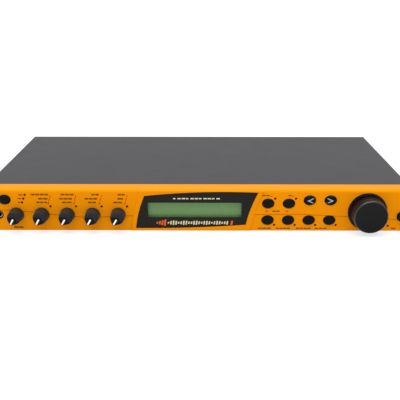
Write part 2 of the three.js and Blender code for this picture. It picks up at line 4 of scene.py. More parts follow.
import bmesh
import bpy
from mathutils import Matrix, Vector


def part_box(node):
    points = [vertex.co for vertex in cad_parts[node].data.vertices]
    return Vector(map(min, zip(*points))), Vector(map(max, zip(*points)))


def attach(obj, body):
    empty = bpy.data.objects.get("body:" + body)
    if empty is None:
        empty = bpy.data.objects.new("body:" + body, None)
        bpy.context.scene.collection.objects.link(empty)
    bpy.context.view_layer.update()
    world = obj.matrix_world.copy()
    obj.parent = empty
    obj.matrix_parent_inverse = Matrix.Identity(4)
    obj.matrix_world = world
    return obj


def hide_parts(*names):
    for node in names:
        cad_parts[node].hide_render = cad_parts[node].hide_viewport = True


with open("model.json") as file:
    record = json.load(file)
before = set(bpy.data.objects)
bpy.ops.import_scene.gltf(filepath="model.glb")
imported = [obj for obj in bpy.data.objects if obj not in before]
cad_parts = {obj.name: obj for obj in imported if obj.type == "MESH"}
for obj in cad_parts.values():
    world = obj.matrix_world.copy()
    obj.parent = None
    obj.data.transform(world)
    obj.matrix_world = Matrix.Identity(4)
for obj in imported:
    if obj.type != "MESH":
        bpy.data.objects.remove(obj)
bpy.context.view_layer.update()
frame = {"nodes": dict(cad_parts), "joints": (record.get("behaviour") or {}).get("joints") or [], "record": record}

MM = 0.001
PANEL_TO_PLATE = 17 * MM
FACE_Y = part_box("front_plate")[0].y - PANEL_TO_PLATE  # the panel's front face in the frame
REAR = (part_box("chassis_tray")[1].y - FACE_Y) / MM  # the rear wall's outer face
WHEEL_SIDES = 128
FINE = 96  # sides of a knob or the wheel's recess
KEY_SIDES = 64
ROUND = 48  # sides of a hole or a socket
SMALL = 24  # sides of a screw or a lamp


def row(x, y, z):
    return Vector((x * MM, FACE_Y + y * MM, z * MM))


def middle(node):
    """The x and z of a CAD node's centre, in millimetres."""
    low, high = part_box(node)
    return (low.x + high.x) / 2 / MM, (low.z + high.z) / 2 / MM


# the x and z of each turning body's axis
AXIS = {
    joint["child"]: (joint["pos_m"][0] / MM, joint["pos_m"][2] / MM)
    for joint in frame["joints"]
    if joint["type"] == "hinge"
}
REAR_Z = middle("audio_jack_1")[1] + 0.25  # a jack's body is a little deeper below its axis than above it


# ---------------------------------------------------------------- outlines and solids
def arc(cu, cv, radius, start, stop, steps):
    """Points along an arc, angles in degrees."""
    points = []
    for i in range(steps + 1):
        angle = math.radians(start + (stop - start) * i / steps)
        points.append((cu + radius * math.cos(angle), cv + radius * math.sin(angle)))
    return points


def circle(cu, cv, radius_u, radius_v, sides):
    """The corners of a round or oval outline."""
    return [
        (cu + radius_u * math.cos(math.tau * i / sides), cv + radius_v * math.sin(math.tau * i / sides))
        for i in range(sides)
    ]


def rounded_rectangle(left, right, bottom, top, radius, steps=5):
    return (
        arc(right - radius, top - radius, radius, 0, 90, steps)
        + arc(left + radius, top - radius, radius, 90, 180, steps)
        + arc(left + radius, bottom + radius, radius, 180, 270, steps)
        + arc(right - radius, bottom + radius, radius, 270, 360, steps)
    )


def bowed(start, control, stop, steps):
    """A quadratic curve from start to stop, without its last point."""
    points = []
    for i in range(steps):
        t = i / steps
        points.append(tuple(
            (1 - t) ** 2 * a + 2 * t * (1 - t) * b + t * t * c for a, b, c in zip(start, control, stop)
        ))
    return points


def catmull_rom(a, b, c, d, t):
    """The smooth curve's value at share t of the way from b to c."""
    square = (2 * a - 5 * b + 4 * c - d) * t * t
    cube = (3 * b - a - 3 * c + d) * t ** 3
    return 0.5 * (2 * b + (c - a) * t + square + cube)


def smooth_through(knots, steps):
    """A smooth curve through (x, z) knots."""
    first, last = knots[0], knots[-1]
    padded = [first] + list(knots) + [last]
    points = []
    for i in range(1, len(padded) - 2):
        near = padded[i - 1:i + 3]
        for j in range(steps):
            points.append(tuple(catmull_rom(*values, j / steps) for values in zip(*near)))
    return points + [last]


def loft(rings, closed=False):
    """Points and faces of a solid through rings of equal length. A ring of one point is a tip."""
    points, faces, spans = [], [], []
    for ring in rings:
        spans.append(range(len(points), len(points) + len(ring)))
        points.extend(ring)
    pairs = list(zip(spans, spans[1:]))
    if closed:
        pairs.append((spans[-1], spans[0]))
    for here, there in pairs:
        count = max(len(here), len(there))
        for i in range(count):
            j = (i + 1) % count
            around = ((here, i), (here, j), (there, j), (there, i))
            corners = [span[k % len(span)] for span, k in around]
            faces.append(list(dict.fromkeys(corners)))
    if not closed:
        faces.extend(list(span) for span in (spans[0], spans[-1]) if len(span) > 1)
    return points, faces


def turned(profile, sides, x=0, z=0, stretch=(1, 1), closed=False):
    """A solid of revolution about the Y axis through (x, z), from (radius, y) points."""
    rings = []
    for radius, y in profile:
        if radius == 0:
            rings.append([(x, y, z)])
        else:
            outline = circle(x, z, radius * stretch[0], radius * stretch[1], sides)
            rings.append([(u, y, v) for u, v in outline])
    return loft(rings, closed)


def prism_y(outline, front, back):
    """A straight solid along Y with an (x, z) outline."""
    return loft([[(u, y, v) for u, v in outline] for y in (front, back)])


def rectangle(left, right, bottom, top):
    return [(left, bottom), (right, bottom), (right, top), (left, top)]


def block(x_range, y_range, z_range):
    return prism_y(rectangle(*x_range, *z_range), *y_range)


def together(*parts):
    """Several separate solids as one list of points and one of faces."""
    points, faces = [], []
    for part_points, part_faces in parts:
        start = len(points)
        points.extend(part_points)
        faces.extend([start + i for i in face] for face in part_faces)
    return points, faces


def mesh_object(name, shape):
    """An object from (points, faces), linked to the scene."""
    points, faces = shape
    mesh = bpy.data.meshes.new(name)
    mesh.from_pydata([row(*point) for point in points], [], faces)
    mesh.validate()
    thing = bpy.data.objects.new(name, mesh)
    bpy.context.scene.collection.objects.link(thing)
    turn_outwards(thing)
    return thing


def turn_outwards(thing):
    work = bmesh.new()
    work.from_mesh(thing.data)
    bmesh.ops.recalc_face_normals(work, faces=work.faces)
    work.to_mesh(thing.data)
    work.free()


def settle(thing):
    """Makes the object's modifiers part of its mesh."""
    graph = bpy.context.evaluated_depsgraph_get()
    mesh = bpy.data.meshes.new_from_object(thing.evaluated_get(graph))
    thing.modifiers.clear()
    thing.data = mesh


def combine(thing, shape, operation):
    """Cuts a shape out of the object's mesh, or joins it on."""
    tool = mesh_object("tool", shape)
    modifier = thing.modifiers.new("combine", "BOOLEAN")
    modifier.operation = operation
    modifier.solver = "EXACT"
    modifier.object = tool
    settle(thing)
    bpy.data.objects.remove(tool)


def soften(thing, width):
    """Rounds the sharp edges of the object's mesh."""
    modifier = thing.modifiers.new("soften", "BEVEL")
    modifier.width = width * MM
    modifier.segments = 2
    modifier.limit_method = "ANGLE"
    modifier.angle_limit = math.radians(35)
    settle(thing)


def shade(thing, angle=32):
    """Smooth shading on round stretches, crisp over sharp edges, and flat on large flat faces."""
    for polygon in thing.data.polygons:
        polygon.use_smooth = True
    thing.data.set_sharp_from_angle(angle=math.radians(angle))
    modifier = thing.modifiers.new("normals", "WEIGHTED_NORMAL")
    modifier.keep_sharp = True
    settle(thing)


def piece(name, shape, material, body, replaces=(), bevel=0, angle=32):
    """A finished piece: its mesh, its material, the body it rides on and the node it stands for."""
    thing = mesh_object(name, shape) if isinstance(shape, tuple) else shape
    thing.name = name
    if bevel:
        soften(thing, bevel)
    shade(thing, angle)
    thing.data.name = name
    thing.data.materials.clear()
    thing.data.materials.append(material)
    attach(thing, body)
    if replaces:
        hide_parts(*replaces)
    return thing


# ---------------------------------------------------------------- materials
MIX_FIRST, MIX_SECOND, MIX_RESULT = 6, 7, 2  # the mix node's colour sockets
FINISH = {}  # every material, under its finish's name


def node(tree, kind, **settings):
    made = tree.nodes.new(kind)
    for key, value in settings.items():
        setattr(made, key, value)
    return made


def new_shader(name):
    """A new material in FINISH: its node tree, its shader and its place in the object's coordinates."""
    material = bpy.data.materials.new(name)
    FINISH[name] = material
    material.use_nodes = True
    tree = material.node_tree
    place = node(tree, "ShaderNodeTexCoord").outputs["Object"]
    return tree, tree.nodes["Principled BSDF"], place


def noise(tree, place, size, detail=3.0, stretch=(1, 1, 1)):
    """Noise whose features are about size millimetres across."""
    mapping = node(tree, "ShaderNodeMapping")
    mapping.inputs["Scale"].default_value = stretch
    tree.links.new(place, mapping.inputs["Vector"])
    made = node(tree, "ShaderNodeTexNoise")
    made.inputs["Scale"].default_value = 1 / (size * MM)
    made.inputs["Detail"].default_value = detail
    tree.links.new(mapping.outputs["Vector"], made.inputs["Vector"])
    return made.outputs["Fac"]


def blend_colours(tree, factor, first, second):
    """A mix of two colours, each a socket or three numbers."""
    mix = node(tree, "ShaderNodeMix", data_type="RGBA")
    for socket, value in ((mix.inputs[MIX_FIRST], first), (mix.inputs[MIX_SECOND], second)):
        if isinstance(value, bpy.types.NodeSocket):
            tree.links.new(value, socket)
        else:
            socket.default_value = (*value, 1)
    tree.links.new(factor, mix.inputs[0])
    return mix.outputs[MIX_RESULT]


def ranged(tree, value, low, high, from_low=0.3, from_high=0.7):
    """Spreads a value, by default the middle of a noise, over low to high."""
    made = node(tree, "ShaderNodeMapRange")
    made.inputs["From Min"].default_value = from_low
    made.inputs["From Max"].default_value = from_high
    made.inputs["To Min"].default_value = low
    made.inputs["To Max"].default_value = high
    tree.links.new(value, made.inputs["Value"])
    return made.outputs["Result"]


def raised(tree, shader, height, relief):
    """Relief on a surface, up to relief millimetres deep."""
    bump = node(tree, "ShaderNodeBump")
    bump.inputs["Strength"].default_value = 1
    bump.inputs["Distance"].default_value = relief * MM
    tree.links.new(height, bump.inputs["Height"])
    tree.links.new(bump.outputs["Normal"], shader.inputs["Normal"])


def scaled(colour, share):
    return tuple(min(1.0, channel * share) for channel in colour)


def finish(name, colour, roughness=0.5, metallic=0.0, specular=0.5, mottle=0.05, mottle_size=35,
           grain=0.5, relief=0.01, polish=0.06, stretch=(1, 1, 1), sheen=0.0):
    """A surface with slight colour clouds, a fine grain in relief and uneven polish."""
    tree, shader, place = new_shader(name)
    clouds = noise(tree, place, mottle_size, 4)
    fine = noise(tree, place, grain, 3, stretch)
    both = node(tree, "ShaderNodeMath", operation="ADD")
    tree.links.new(clouds, both.inputs[0])
    tree.links.new(ranged(tree, fine, -0.15, 0.15), both.inputs[1])
    colour_out = blend_colours(tree, ranged(tree, both.outputs[0], 0, 1), scaled(colour, 1 - mottle),
                               scaled(colour, 1 + mottle))
    tree.links.new(colour_out, shader.inputs["Base Color"])
    wear = noise(tree, place, mottle_size / 4, 5, stretch)
    tree.links.new(ranged(tree, wear, roughness - polish, roughness + polish), shader.inputs["Roughness"])
    raised(tree, shader, fine, relief)
    shader.inputs["Metallic"].default_value = metallic
    shader.inputs["Specular IOR Level"].default_value = specular
    shader.inputs["Sheen Weight"].default_value = sheen
    shader.inputs["Sheen Roughness"].default_value = 0.3


def screen_finish():
    """Yellow-green liquid crystal glass with two faint rows of character cells."""
    tree, shader, place = new_shader("lcd_glass")
    split = node(tree, "ShaderNodeSeparateXYZ")
    tree.links.new(place, split.inputs[0])
    flat = node(tree, "ShaderNodeCombineXYZ")
    tree.links.new(split.outputs["X"], flat.inputs["X"])
    tree.links.new(split.outputs["Z"], flat.inputs["Y"])
    cells = node(tree, "ShaderNodeTexBrick", offset=0.0, squash=1.0)
    cells.inputs["Scale"].default_value = 1
    cells.inputs["Brick Width"].default_value = 3.9 * MM
    cells.inputs["Row Height"].default_value = 7.4 * MM
    cells.inputs["Mortar Size"].default_value = 0.22 * MM
    cells.inputs["Color1"].default_value = (0.118, 0.241, 0.081, 1)
    cells.inputs["Color2"].default_value = (0.123, 0.248, 0.084, 1)
    cells.inputs["Mortar"].default_value = (0.128, 0.258, 0.088, 1)
    tree.links.new(flat.outputs[0], cells.inputs["Vector"])
    clouds = noise(tree, place, 30, 2)
    tint = blend_colours(tree, ranged(tree, clouds, 0, 0.12), cells.outputs["Color"], (0.17, 0.30, 0.13))
    tree.links.new(tint, shader.inputs["Base Color"])
    tree.links.new(ranged(tree, clouds, 0.22, 0.3), shader.inputs["Roughness"])
    shader.inputs["Specular IOR Level"].default_value = 0.3


def board_finish():
    """Solder mask with faint copper traces under it."""
    tree, shader, place = new_shader("circuit_board")
    traces = node(tree, "ShaderNodeTexVoronoi", feature="DISTANCE_TO_EDGE")
    traces.inputs["Scale"].default_value = 160
    tree.links.new(place, traces.inputs["Vector"])
    lines = ranged(tree, traces.outputs["Distance"], 1, 0, 0.02, 0.05)
    colour = blend_colours(tree, lines, (0.010, 0.085, 0.030), (0.030, 0.150, 0.055))
    tree.links.new(colour, shader.inputs["Base Color"])
    tree.links.new(ranged(tree, noise(tree, place, 12), 0.35, 0.5), shader.inputs["Roughness"])
    raised(tree, shader, lines, 0.03)


def ribbon_finish():
    """Flat cable: a ridge along each of its conductors."""
    tree, shader, place = new_shader("ribbon_grey")
    ridges = node(tree, "ShaderNodeTexWave", wave_type="BANDS", bands_direction="X")
    ridges.inputs["Scale"].default_value = 250
    tree.links.new(place, ridges.inputs["Vector"])
    colour = blend_colours(tree, ridges.outputs["Fac"], (0.26, 0.26, 0.27), (0.36, 0.36, 0.37))
    tree.links.new(colour, shader.inputs["Base Color"])
    tree.links.new(ranged(tree, noise(tree, place, 6), 0.5, 0.62), shader.inputs["Roughness"])
    raised(tree, shader, ridges.outputs["Fac"], 0.2)


def core_finish():
    """Stacked laminations: fine dark lines across a varnished core."""
    tree, shader, place = new_shader("transformer_iron")
    sheets = node(tree, "ShaderNodeTexWave", wave_type="BANDS", bands_direction="Y")
    sheets.inputs["Scale"].default_value = 320
    sheets.inputs["Distortion"].default_value = 0.4
    tree.links.new(place, sheets.inputs["Vector"])
    colour = blend_colours(tree, sheets.outputs["Fac"], (0.06, 0.058, 0.06), (0.14, 0.135, 0.13))
    tree.links.new(colour, shader.inputs["Base Color"])
    tree.links.new(ranged(tree, noise(tree, place, 8), 0.4, 0.6), shader.inputs["Roughness"])
    shader.inputs["Metallic"].default_value = 0.5


ORANGE = (0.755, 0.245, 0.0006)
finish("bezel_orange", ORANGE, 0.5, specular=0.015, mottle=0.015, grain=0.45, relief=0.008, sheen=0.3)
finish("plate_orange", ORANGE, 0.45, specular=0.05, mottle=0.015, grain=0.7)
finish("cover_grey", (0.050, 0.050, 0.053), 0.5, specular=0.12, mottle=0.02, mottle_size=90, grain=0.6,
       relief=0.012, polish=0.02)
finish("nickel", (0.66, 0.65, 0.63), 0.24, metallic=1, grain=0.3, relief=0.003, mottle=0.03,
       stretch=(1, 6, 6))
finish("lens_black", (0.0125, 0.0108, 0.0085), 0.3, specular=0.1, mottle=0.06, grain=1.2, relief=0.001,
       polish=0.04)
finish("black_steel", (0.012, 0.012, 0.012), 0.45, relief=0.004)
finish("wheel_plastic", (0.0024, 0.0024, 0.0034), 0.36, specular=0.15, mottle=0.06, grain=0.35,
       relief=0.004, sheen=0.05)
finish("rim_gloss", (0.012, 0.012, 0.013), 0.28, specular=0.6, mottle=0.06, grain=0.35, relief=0.003,
       polish=0.03)
finish("knob_plastic", (0.0225, 0.0200, 0.0195), 0.6, specular=0.08, mottle=0.08, grain=0.3,
       relief=0.008, sheen=0.1)
finish("key_rubber", (0.0030, 0.0046, 0.0056), 0.5, specular=0.08, mottle=0.08, grain=0.3, relief=0.006)
finish("shaft_metal", (0.6, 0.6, 0.6), 0.35, metallic=1, grain=0.3, relief=0.003, stretch=(6, 1, 6))
finish("black_plastic", (0.0045, 0.0045, 0.005), 0.45, specular=0.08, mottle=0.08, grain=0.4, relief=0.008)
finish("panel_ink", (0.215, 0.074, 0.0008), 0.6, specular=0.03, mottle=0.2, mottle_size=2, grain=0.3,
       relief=0.004)
finish("red_ink", (0.70, 0.050, 0.002), 0.6, specular=0.03, mottle=0.15, mottle_size=2, grain=0.3,
       relief=0.004)
finish("orange_ink", (0.72, 0.10, 0.01), specular=0.2, mottle=0.08, mottle_size=3)
finish("cream_ink", (0.62, 0.55, 0.33), specular=0.2, mottle=0.1, mottle_size=3, grain=0.3, relief=0.004)
finish("pointer_white", (0.88, 0.88, 0.85), specular=0.3, mottle=0.03, mottle_size=4, grain=0.3,
       relief=0.004)
finish("arrow_grey", (0.30, 0.40, 0.37), specular=0.1, mottle_size=3)
finish("led_red", (0.12, 0.010, 0.0008), 0.3, specular=0.06, mottle=0.1, mottle_size=2, grain=0.3,
       relief=0.002)
screen_finish()
board_finish()
ribbon_finish()
core_finish()


def finish_cad_nodes():
    """Every CAD node takes the finish of its own slot."""
    for subpart in frame["record"]["subparts"]:
        carried = frame["nodes"][subpart["node"]]
        carried.data.materials.clear()
        carried.data.materials.append(FINISH[subpart["material_slot"]])


# ---------------------------------------------------------------- panel
BEZEL = {"half": 221, "depth": 16.7, "height": 43.7, "wall": 2.4}
FACE_TOP = 40.6  # where the face turns into the crown
CROWN_DEPTH = 2.4
LEAN = {"from": 20, "span": 20, "most": 0.7, "power": 1.6}  # the face leans back towards its top
# the raised area round the display: left and right hold its side's x at the bottom and at the top
PLATEAU = {"proud": 0.5, "top": 43.2, "bottom": 0.3, "bow": 2.6, "left": (-67.5, -57.5),
           "right": (53.5, 66.5)}
# the curved step along the face, as (x, z) from left to right, on each side of the display
STEP_LEFT = [(-223, 24.2), (-170.6, 20.9), (-144, 17.7), (-118, 15.3), (-93, 15.6), (-66.5, 16.7),
             (-50, 17.2)]
STEP_RIGHT = [(45, 18.2), (58, 18.2), (102, 18.7), (121, 17.7), (145.3, 16.6), (195.9, 13.6), (223, 11.9)]
STEP = {"depth": 0.45, "foot": 0.5, "groove": 0.5, "groove_height": 0.6}
# the display window's corners from the upper left clockwise, and the bow of the side after each
LENS_CORNERS = [(-53.2, 37.5), (60.8, 41.1), (49, 6.9), (-62.5, 3.1)]
LENS_BOWS = [(2.2, 43.7), (52.3, 24), (-6.75, 2.6), (-60.55, 20.3)]
LENS_SIDES = [(0, 1), (1, 0), (0, -1), (-1, 0)]  # which way each side faces
LENS_Y = 0.1  # the front of the window's printed mask
SCREEN = {"left": -50.2, "right": 44.6, "bottom": 14.6, "top": 30.4}
CAPS = sorted(
    name for name in frame["nodes"]
    if name.startswith("panel_button") or name.endswith("_button") and name != "power_button"
)
KNOBS = ["volume_knob"] + [f"control_knob_{i}" for i in range(1, 5)]
WELL = {"radius": 19.9, "depth": 4.4}  # the round recess of the wheel
KEY_HOLE = (6.3, 5.2)
SHAFT_HOLE = 3.9
POWER_HOLE = 5.8
PHONES_HOLE = 4.7
LED_RADIUS = 1.25
ROW_LAMPS = {"top": (-173.6, 38.4), "across": -1.65, "down": -3.95, "count": 3}
ACTIVITY_LAMP = (193.8, 5.6)
KNOB_LAMP = (9.2, 8.7)  # from a knob's axis
KEY_LAMP = (6.9, 5.2)  # from a key's middle, up from the upper row and down from the lower


def face_lean(z):
    """How far the face stands back at height z."""
    return LEAN["most"] * (max(0, z - LEAN["from"]) / LEAN["span"]) ** LEAN["power"]


def step_height(x):
    """The step's z at x, or 0 behind the display."""
    knots = STEP_LEFT if x < 0 else STEP_RIGHT
    for (x0, z0), (x1, z1) in zip(knots, knots[1:]):
        if x0 <= x <= x1:
            return z0 + (z1 - z0) * (x - x0) / (x1 - x0)
    return 0


def face_depth(x, z):
    """The y of the panel's face at (x, z), the step included."""
    line = step_height(x)
    if z > line - 0.3:
        return face_lean(z)
    return STEP["depth"] + (STEP["foot"] - STEP["depth"]) * (line - z) / line


def led_places():
    """The middle of each lamp: activity, the three rows, the control knobs and the panel buttons."""
    places = [ACTIVITY_LAMP]
    x, z = ROW_LAMPS["top"]
    places += [(x + ROW_LAMPS["across"] * i, z + ROW_LAMPS["down"] * i) for i in range(ROW_LAMPS["count"])]
    places += [(AXIS[knob][0] + KNOB_LAMP[0], AXIS[knob][1] + KNOB_LAMP[1]) for knob in KNOBS[1:]]
    for name in CAPS:
        x, z = middle(name)
        if name.startswith("panel_button"):
            upper_row = z > BEZEL["height"] / 2
            places.append((x + KEY_LAMP[0], z + (KEY_LAMP[1] if upper_row else -KEY_LAMP[1])))
    return places


def lens_outline(margin):
    """The display window's outline, margin millimetres larger all round."""
    outwards = [(-1, 1), (1, 1), (1, -1), (-1, -1)]
    grown = [(x + sx * margin, z + sz * margin) for (x, z), (sx, sz) in zip(LENS_CORNERS, outwards)]
    points = []
    for i, (x, z) in enumerate(LENS_BOWS):
        dx, dz = LENS_SIDES[i]
        points += bowed(grown[i], (x + dx * margin, z + dz * margin), grown[(i + 1) % 4], 24)
    return points


def plateau_outline():
    left, right, top, bottom = PLATEAU["left"], PLATEAU["right"], PLATEAU["top"], PLATEAU["bottom"]
    level = (top + bottom) / 2
    left_bow = ((left[0] + left[1]) / 2 - PLATEAU["bow"], level)
    right_bow = ((right[0] + right[1]) / 2 - PLATEAU["bow"], level)
    return (
        bowed((left[0], bottom), left_bow, (left[1], top), 20) + [(left[1], top)]
        + bowed((right[1], top), right_bow, (right[0], bottom), 20) + [(right[0], bottom)]
    )


def bezel_section():
    """The block's (y, z) outline: leaning face, wide curve into the top, small curve below."""
    depth, height = BEZEL["depth"], BEZEL["height"]
    face = [(face_lean(z), z) for z in (0.9, LEAN["from"], 24, 28, 32, 36, FACE_TOP)]
    start_y, start_z = face[-1]
    crown = []
    for i in range(1, 11):
        angle = math.pi / 2 * i / 10
        y = start_y + CROWN_DEPTH * (1 - math.cos(angle))
        crown.append((y, start_z + (height - start_z) * math.sin(angle)))
    foot = [(0.2, 0.3), (0.8, 0)]
    return [(depth, 0), (depth, height)] + crown[::-1] + face[::-1] + foot


def step_wedge(knots):
    """What is cut away below the step: a groove under its edge, then the face down to its foot."""
    foot, clear = STEP["foot"], -4
    rings = []
    for x, z in smooth_through(knots, 8):
        front = STEP["depth"] + face_lean(z)
        groove, groove_foot = front + STEP["groove"], z - STEP["groove_height"]
        section = [(clear, z), (groove, z), (groove, groove_foot), (front, groove_foot - 0.15),
                   (foot, 0.8), (foot + 0.12, 0.3), (foot + 0.5, 0), (foot + 0.5, -1), (clear, -1)]
        rings.append([(x, y, level) for y, level in section])
    return loft(rings)


def hole(radius_x, radius_z, x, z, sides, back=4.0, lip=0.35):
    """A hole through the face with a small rounded lip."""
    front = face_depth(x, z)
    profile = [(0, -3), (1 + lip / radius_x, -3), (1 + lip / radius_x, front),
               (1 + 0.3 * lip / radius_x, front + 0.3 * lip), (1, front + lip), (1, back), (0, back)]
    return turned(profile, sides, x, z, (radius_x, radius_z))


def bezel_block():
    """The panel's solid outer shape, its ends a little rounded."""
    half, depth = BEZEL["half"], BEZEL["depth"]
    section = bezel_section()
    ends = [(-half, 1.6), (-half + 0.5, 0.6), (-half + 1.6, 0)]
    ends += [(half - 1.6, 0), (half - 0.5, 0.6), (half, 1.6)]
    rings = []
    for x, inset in ends:
        rings.append([(x, min(depth, y + inset * (depth - y) / depth), z) for y, z in section])
    return loft(rings)


def plateau():
    """The raised area round the display, its front edge drawn in a little."""
    outline = plateau_outline()
    level = 22
    inner = [(x * 0.992 - 0.03, level + (z - level) * 0.983) for x, z in outline]
    front = -PLATEAU["proud"]
    return loft([[(x, front, z) for x, z in inner], [(x, front + 0.35, z) for x, z in outline],
                 [(x, 6, z) for x, z in outline]])


def front_bezel():
    """The moulded panel: a hollow block with its step, raised area, opening, wheel recess and holes."""
    half, depth, wall, height = BEZEL["half"], BEZEL["depth"], BEZEL["wall"], BEZEL["height"]
    shell = mesh_object("front_bezel_shell", bezel_block())
    combine(shell, together(step_wedge(STEP_LEFT), step_wedge(STEP_RIGHT)), "DIFFERENCE")
    combine(shell, plateau(), "UNION")
    hollow = (-half + wall, half - wall), (wall, depth + 1), (wall, height - wall)
    combine(shell, block(*hollow), "DIFFERENCE")
    view = (SCREEN["left"] - 3, SCREEN["right"] + 3), (-2, 4), (SCREEN["bottom"] - 2, SCREEN["top"] + 2)
    combine(shell, block(*view), "DIFFERENCE")
    radius, back = WELL["radius"] + 0.9, WELL["depth"] + 1.5
    cup = [(0, 1), (radius, 1), (radius, back), (0, back)]
    combine(shell, turned(cup, FINE, *AXIS["data_wheel"]), "UNION")
    combine(shell, together(*face_holes()), "DIFFERENCE")
    piece("front_bezel_shell", shell, FINISH["bezel_orange"], "chassis", ["front_bezel"],
          angle=28)


def face_holes():
    """What is cut out of the panel's face: the holes, the wheel's well and the window's seat."""
    holes = []
    for name in CAPS:
        holes.append(hole(*KEY_HOLE, *middle(name), ROUND))
    for x, z in led_places():
        holes.append(hole(LED_RADIUS, LED_RADIUS, x, z, SMALL, lip=0.12))
    for knob in KNOBS:
        holes.append(hole(SHAFT_HOLE, SHAFT_HOLE, *AXIS[knob], ROUND))
    holes.append(hole(POWER_HOLE, POWER_HOLE, *middle("power_button"), ROUND))
    holes.append(hole(PHONES_HOLE, PHONES_HOLE, *middle("headphone_jack"), ROUND, lip=0.2))
    radius, depth = WELL["radius"], WELL["depth"]
    well = [(0, -3), (radius + 0.5, -3), (radius + 0.5, 0), (radius + 0.15, 0.15), (radius, 0.6),
            (radius - 0.3, depth - 1.2), (radius - 0.9, depth - 0.3), (radius - 1.8, depth),
            (SHAFT_HOLE, depth), (SHAFT_HOLE, depth + 3), (0, depth + 3)]
    holes.append(turned(well, FINE, *AXIS["data_wheel"]))
    front = -PLATEAU["proud"]
    seat = [(0.45, -3), (0.45, front), (0.3, front + 0.2), (0.3, 1.3)]
    holes.append(loft([[(x, y, z) for x, z in lens_outline(margin)] for margin, y in seat]))
    return holes


def display_window():
    """The display window's printed mask, open over the screen."""
    mask = mesh_object("display_mask", prism_y(lens_outline(0), LENS_Y, 1.0))
    opening = (SCREEN["left"], SCREEN["right"]), (-1, 2), (SCREEN["bottom"], SCREEN["top"])
    combine(mask, block(*opening), "DIFFERENCE")
    piece("display_mask", mask, FINISH["lens_black"], "chassis", ["display_lens"], bevel=0.12)


# ---------------------------------------------------------------- knobs, wheel and keys
NOSE = math.radians(-120)  # a pointer at rest looks down to the left
KNOB_FRONT, KNOB_BASE = -13, -0.8
KNOB_PROFILE = [(0, KNOB_FRONT), (2.6, -12.97), (4.4, -12.85), (5.6, -12.5), (6.3, -12.0), (6.7, -11.3),
                (6.9, -10.4), (7.0, -9), (7.2, -5.4), (7.6, -1.9), (7.7, -1.4), (7.7, KNOB_BASE)]
NOSE_REACH = {"front": 0.9, "more_at_base": 3.8, "radius": 2.4}  # past the round body
FACET = {"start": -0.6, "front": KNOB_FRONT, "end": 7.6, "back": -11.5}  # along the nose, and y
INSET = {"apex": -2.2, "spread": 1.5, "seam": 0.06}  # the black wedge set into the cap's nose


def pointer_radius(radius, reach, nose_radius, away):
    """Distance from the axis to an outline that is a circle drawn out to a small round nose."""
    furthest = radius
    for i in range(1, 25):
        share = i / 24
        along = (reach - nose_radius) * share
        size = radius + (nose_radius - radius) * share
        inside = size * size - (along * math.sin(away)) ** 2
        if inside > 0:
            furthest = max(furthest, along * math.cos(away) + math.sqrt(inside))
    return furthest


def knob_rings(x, z):
    """A knob's outlines from its front to its base, the nose longer towards the base."""
    rings = [[(x, KNOB_FRONT, z)]]
    for radius, y in KNOB_PROFILE[1:]:
        depth = (y - KNOB_FRONT) / (KNOB_BASE - KNOB_FRONT)
        nose = min(NOSE_REACH["radius"], radius)
        reach = radius
        if radius > 3:
            reach += NOSE_REACH["front"] + NOSE_REACH["more_at_base"] * depth
        ring = []
        for i in range(FINE):
            angle = math.tau * i / FINE
            away = abs((angle - NOSE + math.pi) % math.tau - math.pi)
            distance = pointer_radius(radius, reach, nose, min(away, math.pi / 2))
            ring.append((x + distance * math.cos(angle), y, z + distance * math.sin(angle)))
        rings.append(ring)
    return rings


def along_nose(x, z, along, aside, y):
    """A point given along the pointer's direction and to its side."""
    return (x + along * math.cos(NOSE) - aside * math.sin(NOSE), y,
            z + along * math.sin(NOSE) + aside * math.cos(NOSE))


def facet_y(along):
    """The y of the sloped facet that carries the line."""
    slope = (FACET["back"] - FACET["front"]) / (FACET["end"] - FACET["start"])
    return FACET["front"] + slope * (along - FACET["start"])


def nose_wedge(x, z, margin):
    """A wedge through the whole depth of a knob, opening along its nose."""
    start, end = INSET["apex"] - margin, 16
    half = INSET["spread"] * (end - start)
    corners = [along_nose(x, z, *place, 0) for place in ((start, 0), (end, -half), (end, half))]
    return prism_y([(u, w) for u, _, w in corners], -20, 4)


def facet_cutter(x, z):
    """All that stands in front of the sloped facet."""
    side, clear = 12, -24
    rings = []
    for along in (-2.5, 16):
        y = facet_y(along)
        corners = ((-side, y), (side, y), (side, clear), (-side, clear))
        rings.append([along_nose(x, z, along, *corner) for corner in corners])
    return loft(rings)


def pointer_line(x, z):
    """The white line let into the facet, from (place along the nose, half width) stations."""
    rings = []
    for along, half in [(0.7, 0.5), (1.0, 0.75), (1.8, 0.85), (5.6, 0.8), (7.2, 0.75), (7.6, 0.55)]:
        front, back = facet_y(along) - 0.06, facet_y(along) + 0.4
        corners = ((-half, front), (half, front), (half, back), (-half, back))
        rings.append([along_nose(x, z, along, *corner) for corner in corners])
    return loft(rings)


def pointer_knob(name):
    """A soft round cap, with a black wedge at its nose that slopes back and carries the white line."""
    x, z = AXIS[name]
    cap = mesh_object(name + "_cap", loft(knob_rings(x, z)))
    combine(cap, facet_cutter(x, z), "DIFFERENCE")
    shaft_bore = [(0, -10.3), (3.3, -10.3), (3.3, 2), (0, 2)]
    combine(cap, turned(shaft_bore, SMALL, x, z), "DIFFERENCE")
    soften(cap, 0.25)
    nose = bpy.data.objects.new(name + "_nose", cap.data.copy())
    bpy.context.scene.collection.objects.link(nose)
    combine(cap, nose_wedge(x, z, INSET["seam"]), "DIFFERENCE")
    combine(nose, nose_wedge(x, z, 0), "INTERSECT")
    piece(name + "_cap", cap, FINISH["knob_plastic"], name, [name])
    piece(name + "_nose", nose, FINISH["black_plastic"], name, [name])
    piece(name + "_line", pointer_line(x, z), FINISH["pointer_white"], name)


